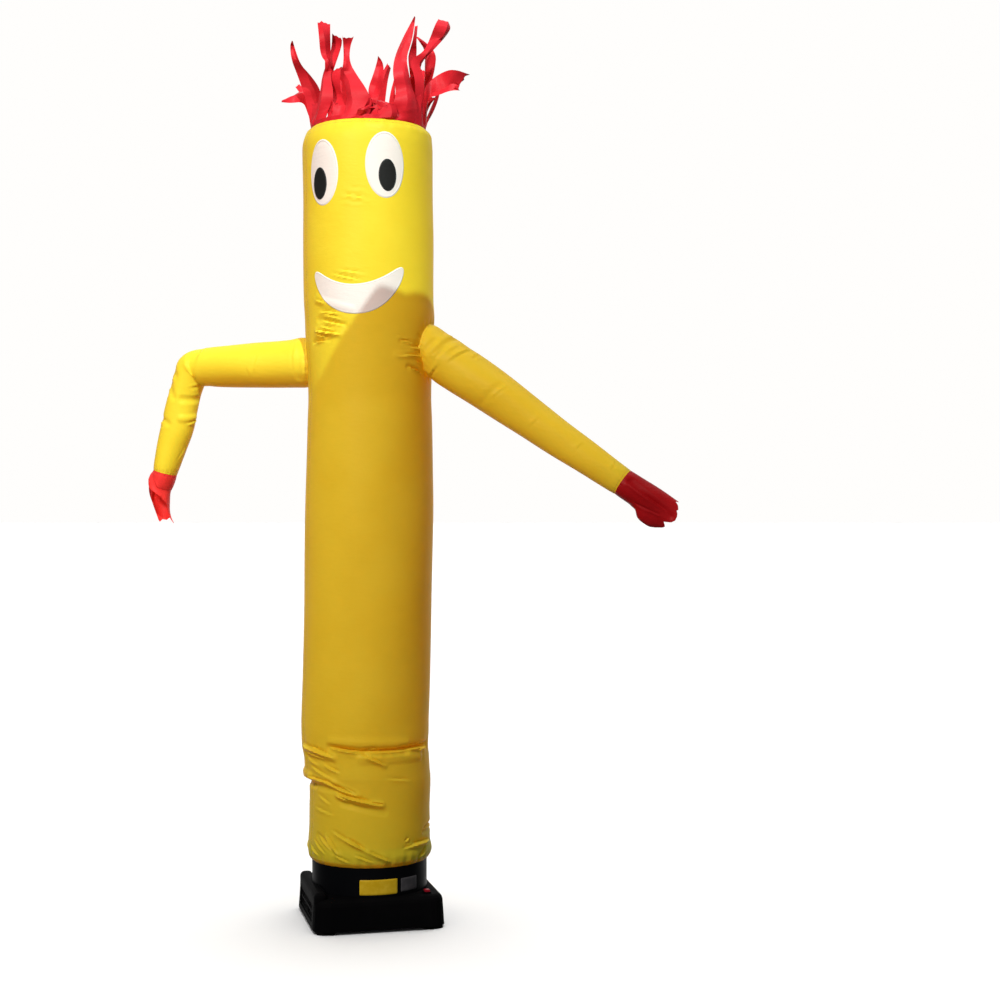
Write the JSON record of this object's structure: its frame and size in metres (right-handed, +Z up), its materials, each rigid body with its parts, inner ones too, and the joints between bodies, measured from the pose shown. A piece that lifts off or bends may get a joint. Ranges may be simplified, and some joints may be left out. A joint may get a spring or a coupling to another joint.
{
  "type": "inflatable air dancer on its blower",
  "caption": "Tall hollow cloth tube with two tapered sleeves, hands, ribbon hair and a sewn face, standing over a square air blower.",
  "frame": {"origin": "on the floor under the axis of the blower's collar, at the underside of the base plate", "axes": "+Z up along the tube, -Y towards the front with the face, +X towards the sleeve that slopes straight down"},
  "size_m": [1.0871, 0.3326, 1.812],
  "materials": {
    "yellow_nylon": "thin coated nylon with a soft sheen",
    "red_nylon": "thin coated nylon with a soft sheen",
    "white_nylon": "plain woven applique",
    "black_nylon": "plain woven applique",
    "black_plastic": "fine grained moulding",
    "yellow_plate": "bare satin plate",
    "grey_plate": "bare satin plate",
    "red_plastic": "glossy rocker",
    "black_rubber": "matte rubber"
  },
  "bodies": {
    "root": {"body_tube": "yellow_nylon", "arm_left": "yellow_nylon", "arm_right": "yellow_nylon", "hand_left": "red_nylon", "hand_right": "red_nylon", "hair": "red_nylon", "eye_white_left": "white_nylon", "eye_white_right": "white_nylon", "pupil_left": "black_nylon", "pupil_right": "black_nylon", "mouth": "white_nylon", "housing": "black_plastic", "collar": "black_plastic", "intake_grille": "black_plastic", "base_pan": "black_plastic", "foot_1": "black_rubber", "foot_2": "black_rubber", "foot_3": "black_rubber", "foot_4": "black_rubber", "switch_bezel": "black_plastic", "switch_rocker": "red_plastic", "cord_gland": "black_rubber", "plate_yellow": "yellow_plate", "plate_grey": "grey_plate"}
  },
  "joints": []
}
